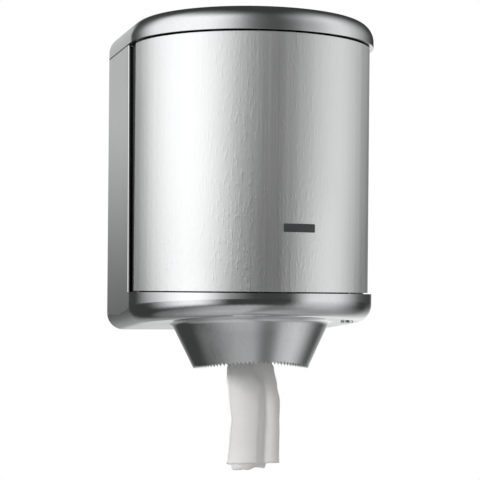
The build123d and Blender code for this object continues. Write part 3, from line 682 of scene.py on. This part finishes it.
def make_roll(size):
    """Wound roll: its turns show as rings at both ends, and its outer end lies on it as a small step."""
    low, high, radius, bore = ROLL_LOW.z, ROLL_HIGH.z, ROLL_HIGH.x, size.roll_bore
    edge, steps = 0.0012, 240
    wound = radius - bore - 2 * edge
    rings = 2 * round(wound / size.ring_pitch)
    end = [(bore + edge + wound * i / rings, size.ring_depth * (i % 2)) for i in range(rings + 1)]
    outline = [(bore, low + edge)] + [(r, low + dip) for r, dip in end]
    outline += [(radius, low + edge), (radius, high - edge)]
    outline += [(r, high - dip) for r, dip in end[::-1]] + [(bore, high - edge)]
    bm = bmesh.new()
    lathe(bm, outline, AXIS_Y, steps)
    for vert in bm.verts:
        x, y = vert.co.x, vert.co.y - AXIS_Y
        if hypot(x, y) > radius - 2 * edge:
            turns = ((atan2(y, x) - size.roll_end) / (2 * pi)) % 1.0
            share = 1 - size.outer_step * turns / radius
            vert.co.x = x * share
            vert.co.y = AXIS_Y + y * share
    finish_piece(bm, "paper_roll_wound", "housing", "paper", ["paper_roll"], crease=60)


def smooth_step(value, low, high):
    """0 below low, 1 above high and a soft change between them; low may be the greater one."""
    share = min(1.0, max(0.0, (value - low) / (high - low)))
    return share * share * (3 - 2 * share)


def waver(amount, *place):
    """Soft noise of one amount, read at a place of its own."""
    return amount * noise.noise(Vector(place))


def swell(x, middle, half):
    """1 in the middle of a soft fold and 0 from its half width on."""
    return max(0.0, 1 - ((x - middle) / half) ** 2)


# Gathered paper at heights from the roll's bore to its end: height, width, depth, its middle in X, its
# middle behind the roll's axis, and X of the fold in its front.
TAIL_LEVELS = (
    (-0.057, 0.038, 0.0064, 0.0, 0.0155, 0.0),
    (-0.117, 0.038, 0.0056, 0.0, 0.0077, 0.0),
    (-0.184, 0.0245, 0.0124, 0.0, -0.009, 0.0),
    (-0.188, 0.0245, 0.0124, 0.0, -0.0095, 0.0),
    (-0.2048, 0.0487, 0.0140, 0.0002, -0.0095, 0.0014),
    (-0.2235, 0.0534, 0.0130, 0.0017, -0.0095, 0.0104),
    (-0.239, 0.0560, 0.0126, 0.0035, -0.0095, 0.0104),
    (-0.2576, 0.0534, 0.0120, 0.0048, -0.0095, 0.0098),
    (-0.2731, 0.0549, 0.0112, 0.0040, -0.0095, 0.0092),
    (-0.3052, 0.0572, 0.0100, 0.0031, -0.0095, 0.0086),
)
LAYERS = 4


def tail_level(height):
    """The gathered paper's measures at one height."""
    if height >= TAIL_LEVELS[0][0]:
        return TAIL_LEVELS[0][1:]
    for upper, lower in zip(TAIL_LEVELS, TAIL_LEVELS[1:]):
        if height >= lower[0]:
            share = smooth_step(height, upper[0], lower[0])
            return tuple(a + (b - a) * share for a, b in zip(upper[1:], lower[1:]))
    return TAIL_LEVELS[-1][1:]


def torn_edge(layer, u, bottom):
    """Height of the torn end: the front layer ends first, the others hang lower in their middle."""
    front_above, lower_by, less_at_right = 0.0078, 0.0066, 0.0018
    ragged = waver(0.0009, u * 70, 3.1, 0.0) + waver(0.0006, u * 190, 7.7, 0.0)
    front = bottom + front_above + ragged
    if layer < 1.0:
        return front
    # From -1 at the left to 1 at the right, the lower part of a layer begins and ends softly.
    side = -cos(pi * layer)
    inside = smooth_step(side, -0.86, -0.78) * smooth_step(side, 0.52, 0.42)
    drop = lower_by + waver(0.0012, u * 45, 9.2, 4.0) - less_at_right * smooth_step(side, -0.2, 0.1)
    return front - inside * drop


def make_tail(size):
    """End of the paper, gathered into four layers by the nozzle."""
    across, along = 192, 120
    # The layers get narrower from front to back, by this share in all.
    narrowing = 0.05
    # Down to the first height the nozzle holds the paper, and from the second on it hangs loose.
    held_to, loose_from = -0.188, -0.214
    # The flat sheet is longer by its way from the tail's top to the wall of the roll's bore.
    top, bottom = TAIL_HIGH.z - 0.001, TAIL_LOW.z + 0.0004
    bm = bmesh.new()
    bmesh.ops.create_grid(bm, x_segments=across, y_segments=along, size=0.5)
    for vert in bm.verts:
        u, v = vert.co.x + 0.5, 0.5 - vert.co.y
        layer = u * LAYERS
        z = top + (torn_edge(layer, u, bottom) - top) * v
        width, depth, x0, back, fold = tail_level(z)
        reach = width / 2 * (1 - narrowing * (layer / LAYERS))
        loose = smooth_step(z, held_to, loose_from)
        x = x0 - reach * cos(pi * layer)
        y = AXIS_Y + back + depth * (layer / LAYERS - 0.5)
        y += waver(loose * 0.0011, layer * 1.7, z * 22.0, 1.3)
        x += waver(loose * 0.0007, layer * 0.9 + 4.0, z * 60.0, 5.0)
        # The front layer lies further forward at the left of its fold, and swells softly at two places.
        if layer < 1.0:
            y -= loose * 0.0034 * smooth_step(x, fold + 0.0045, fold - 0.0035)
            y -= loose * 0.0016 * swell(x, x0 - 0.012, 0.017)
            y -= loose * 0.0012 * swell(x, x0 + 0.019, 0.008)
        vert.co = Vector((x, y, z))
    piece = finish_piece(
        bm, "paper_tail_gathered", "housing", "paper", ["paper_tail"], crease=180, clean=False)
    add_wall(piece, "plies", size.paper_gauge, 0.0)


def dress_cad_nodes():
    """Give every CAD node that stays its finish."""
    for mesh_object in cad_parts.values():
        for place in mesh_object.material_slots:
            slot = place.material.name.split(".")[0]
            place.material = material_for(slot)


# Soft panels of the studio: middle and half width in degrees to the right of the camera, softness of the
# left and of the right end, lower end in degrees above the level and its softness, upper end and its
# softness, brightness. The angles are counted at the object, so that 180 is right behind it.
PANELS = (
    # left wall, above the level
    (-65, 50, 35, 45, -1, 8, 55, 30, 0.85),
    # its wide glow
    (-60, 45, 100, 110, 4, 10, 70, 35, 0.51),
    # left wall, below the level
    (-58, 25, 55, 35, -30, 25, 2, 10, 1.24),
    # right wall, above the level
    (90, 32, 80, 70, 2, 8, 55, 40, 0.96),
    # right wall, below the level
    (77, 28, 25, 50, -28, 70, 2, 8, 1.10),
    # floor at the left, from its near edge
    (-85, 125, 60, 55, -100, 8, -41, 10, 0.16),
    # floor at the left, further down
    (-115, 70, 45, 60, -100, 8, -58, 28, 0.27),
    # floor before the object
    (-18, 35, 80, 30, -100, 8, -38, 20, 0.30),
    # floor at the right
    (105, 53, 75, 25, -100, 8, -30, 35, 0.35),
    # floor right below
    (0, 179, 4, 4, -100, 8, -68, 25, 0.06),
)
# Parts of the white backdrop that the steel mirrors at a glancing angle, in the same measures; the last
# is the share of white.
BACKDROP = (
    # right, below the level
    (163, 13, 25, 8, -43, 8, -11, 25, 0.66),
    # middle, below the level
    (-178, 20, 18, 25, -43, 8, 0, 8, 0.32),
    # middle, at the level
    (176, 10, 8, 8, -17, 12, 2, 8, 0.38),
    # left, above the level
    (-164, 15, 15, 8, 2, 10, 19, 10, 0.58),
)
# Brightness of the gaps between the panels.
FILL = 0.055


def add_panel(tree, across, rise, panel):
    """One soft panel; its angle across is counted from its middle, so that it can stand behind."""
    middle, half, soft_left, soft_right, low, soft_low, high, soft_high, power = panel
    across = add_math(tree, "WRAP", add_math(tree, "SUBTRACT", across, middle), 180, -180)
    total = power
    for angle, end, soft, falls in (
            (across, -half, soft_left, False), (across, half, soft_right, True),
            (rise, low, soft_low, False), (rise, high, soft_high, True)):
        edge = add_range(
            tree, angle, end - soft / 2, end + soft / 2, float(falls), float(not falls), smooth=True)
        total = add_math(tree, "MULTIPLY", edge, total)
    return total


def make_world(stage):
    """White studio with dark gaps between its panels.

    What is seen straight or through is the white backdrop, and the steel mirrors its parts behind the
    object; in the other directions it mirrors the panels, which give it its bright and dark bands."""
    world = bpy.data.worlds.new("studio")
    bpy.context.scene.world = world
    world.use_nodes = True
    tree = world.node_tree
    tree.nodes.clear()
    ray = add_node(tree, "ShaderNodeTexCoord").outputs["Generated"]
    turned = add_node(
        tree, "ShaderNodeVectorRotate", {"Angle": -stage.camera_turn}, {"Vector": ray},
        rotation_type="Z_AXIS")
    parts = add_node(tree, "ShaderNodeSeparateXYZ", links={"Vector": turned.outputs["Vector"]}).outputs
    towards = add_math(tree, "MULTIPLY", parts["Y"], -1.0)
    degree = 180 / pi
    across = add_math(tree, "MULTIPLY", add_math(tree, "ARCTAN2", parts["X"], towards), degree)
    rise = add_math(tree, "MULTIPLY", add_math(tree, "ARCSINE", parts["Z"]), degree)
    total, white_share = FILL, 0.0
    for panel in PANELS:
        total = add_math(tree, "ADD", add_panel(tree, across, rise, panel), total)
    for panel in BACKDROP:
        white_share = add_math(tree, "ADD", add_panel(tree, across, rise, panel), white_share)
    light = add_node(tree, "ShaderNodeBackground", {"Strength": 1.0}, {"Color": total})
    white = add_node(tree, "ShaderNodeBackground", {"Color": (1, 1, 1, 1), "Strength": 1.0})
    path = add_node(tree, "ShaderNodeLightPath").outputs
    mirrored = add_math(tree, "MULTIPLY", path["Is Glossy Ray"], add_math(tree, "MINIMUM", white_share, 1.0))
    straight = add_math(tree, "MAXIMUM", path["Is Camera Ray"], path["Is Transmission Ray"])
    seen = add_math(tree, "MAXIMUM", straight, mirrored)
    mixed = add_node(
        tree, "ShaderNodeMixShader", links={"Fac": seen, 1: light.outputs[0], 2: white.outputs[0]})
    add_node(tree, "ShaderNodeOutputWorld", links={"Surface": mixed.outputs[0]})


def make_camera(context, stage):
    data = bpy.data.cameras.new("camera")
    data.lens = stage.camera_lens
    data.sensor_width = 36.0
    data.shift_x, data.shift_y = stage.camera_shift
    camera = bpy.data.objects.new("camera", data)
    camera.matrix_world = (
        Matrix.Translation(stage.camera_place) @ Matrix.Rotation(stage.camera_turn, 4, "Z")
        @ Matrix.Rotation(pi / 2, 4, "X") @ Matrix.Rotation(stage.camera_roll, 4, "Z"))
    context.scene.collection.objects.link(camera)
    context.scene.camera = camera


def make_floor(context, stage):
    bm = bmesh.new()
    place = Matrix.Translation((0, AXIS_Y, TAIL_LOW.z - stage.floor_drop))
    bmesh.ops.create_circle(bm, cap_ends=True, segments=96, radius=stage.floor_radius, matrix=place)
    mesh = bpy.data.meshes.new("floor")
    bm.to_mesh(mesh)
    bm.free()
    floor = bpy.data.objects.new("floor", mesh)
    context.scene.collection.objects.link(floor)
    mesh.materials.append(fading_floor(stage.floor_radius))
    floor.visible_glossy = False


def make_lamp(context, stage):
    """Soft key lamp from the upper left."""
    lamp = bpy.data.lights.new("key", "AREA")
    lamp.shape = "RECTANGLE"
    lamp.size = stage.lamp_width
    lamp.size_y = stage.lamp_width
    lamp.energy = stage.lamp_power
    key = bpy.data.objects.new("key", lamp)
    spot = Vector(stage.lamp_place)
    aim = Vector((0, AXIS_Y, stage.lamp_aim)) - spot
    key.matrix_world = Matrix.Translation(spot) @ aim.to_track_quat("-Z", "Y").to_matrix().to_4x4()
    key.visible_glossy = False
    context.scene.collection.objects.link(key)


class DISPENSER_OT_make_stage(bpy.types.Operator):
    """Make the camera, the studio, the floor and the key lamp."""

    bl_idname = "dispenser.make_stage"
    bl_label = "Stage"

    def execute(self, context):
        context.scene.view_settings.view_transform = "Standard"
        stage = context.scene.dispenser_stage
        make_camera(context, stage)
        make_world(stage)
        make_floor(context, stage)
        make_lamp(context, stage)
        return {"FINISHED"}


class DISPENSER_OT_dress_cad_nodes(bpy.types.Operator):
    """Give the CAD nodes their finishes."""

    bl_idname = "dispenser.dress_cad_nodes"
    bl_label = "CAD finishes"

    def execute(self, context):
        dress_cad_nodes()
        return {"FINISHED"}


class DISPENSER_OT_make_lid(bpy.types.Operator):
    """Make the lid with its rounded upper edge."""

    bl_idname = "dispenser.make_lid"
    bl_label = "Lid"

    def execute(self, context):
        make_lid(context.scene.dispenser_sizes)
        return {"FINISHED"}


class DISPENSER_OT_make_door(bpy.types.Operator):
    """Make the brushed half-round door."""

    bl_idname = "dispenser.make_door"
    bl_label = "Door"

    def execute(self, context):
        make_door(context.scene.dispenser_sizes)
        return {"FINISHED"}


class DISPENSER_OT_make_casing(bpy.types.Operator):
    """Make the casing with its rolled hems."""

    bl_idname = "dispenser.make_casing"
    bl_label = "Casing"

    def execute(self, context):
        make_casing(context.scene.dispenser_sizes)
        return {"FINISHED"}


class DISPENSER_OT_make_funnel(bpy.types.Operator):
    """Make the funnel with its teeth."""

    bl_idname = "dispenser.make_funnel"
    bl_label = "Funnel"

    def execute(self, context):
        make_funnel(context.scene.dispenser_sizes)
        return {"FINISHED"}


class DISPENSER_OT_make_badge(bpy.types.Operator):
    """Make the bare badge on the door."""

    bl_idname = "dispenser.make_badge"
    bl_label = "Badge"

    def execute(self, context):
        make_badge()
        return {"FINISHED"}


class DISPENSER_OT_make_roll(bpy.types.Operator):
    """Make the wound paper roll."""

    bl_idname = "dispenser.make_roll"
    bl_label = "Paper roll"

    def execute(self, context):
        make_roll(context.scene.dispenser_sizes)
        return {"FINISHED"}


class DISPENSER_OT_make_tail(bpy.types.Operator):
    """Make the gathered end of the paper."""

    bl_idname = "dispenser.make_tail"
    bl_label = "Paper tail"

    def execute(self, context):
        make_tail(context.scene.dispenser_sizes)
        return {"FINISHED"}


OPERATORS = (
    DISPENSER_OT_make_stage,
    DISPENSER_OT_dress_cad_nodes,
    DISPENSER_OT_make_lid,
    DISPENSER_OT_make_door,
    DISPENSER_OT_make_casing,
    DISPENSER_OT_make_funnel,
    DISPENSER_OT_make_badge,
    DISPENSER_OT_make_roll,
    DISPENSER_OT_make_tail,
)


class DISPENSER_PT_pieces(bpy.types.Panel):
    """Lists the makers in the 3D view's sidebar."""

    bl_label = "Roll dispenser"
    bl_space_type = "VIEW_3D"
    bl_region_type = "UI"
    bl_category = "Dispenser"

    def draw(self, context):
        for maker in OPERATORS:
            self.layout.operator(maker.bl_idname)


CLASSES = (DispenserSizes, DispenserColours, DispenserStage, *OPERATORS, DISPENSER_PT_pieces)


def register():
    for kind in CLASSES:
        bpy.utils.register_class(kind)
    bpy.types.Scene.dispenser_sizes = PointerProperty(type=DispenserSizes)
    bpy.types.Scene.dispenser_colours = PointerProperty(type=DispenserColours)
    bpy.types.Scene.dispenser_stage = PointerProperty(type=DispenserStage)


def unregister():
    del bpy.types.Scene.dispenser_stage
    del bpy.types.Scene.dispenser_colours
    del bpy.types.Scene.dispenser_sizes
    for kind in reversed(CLASSES):
        bpy.utils.unregister_class(kind)


def main():
    register()
    dispenser = bpy.ops.dispenser
    dispenser.make_stage()
    dispenser.dress_cad_nodes()
    dispenser.make_lid()
    dispenser.make_door()
    dispenser.make_casing()
    dispenser.make_funnel()
    dispenser.make_badge()
    dispenser.make_roll()
    dispenser.make_tail()


if __name__ == "__main__":
    main()
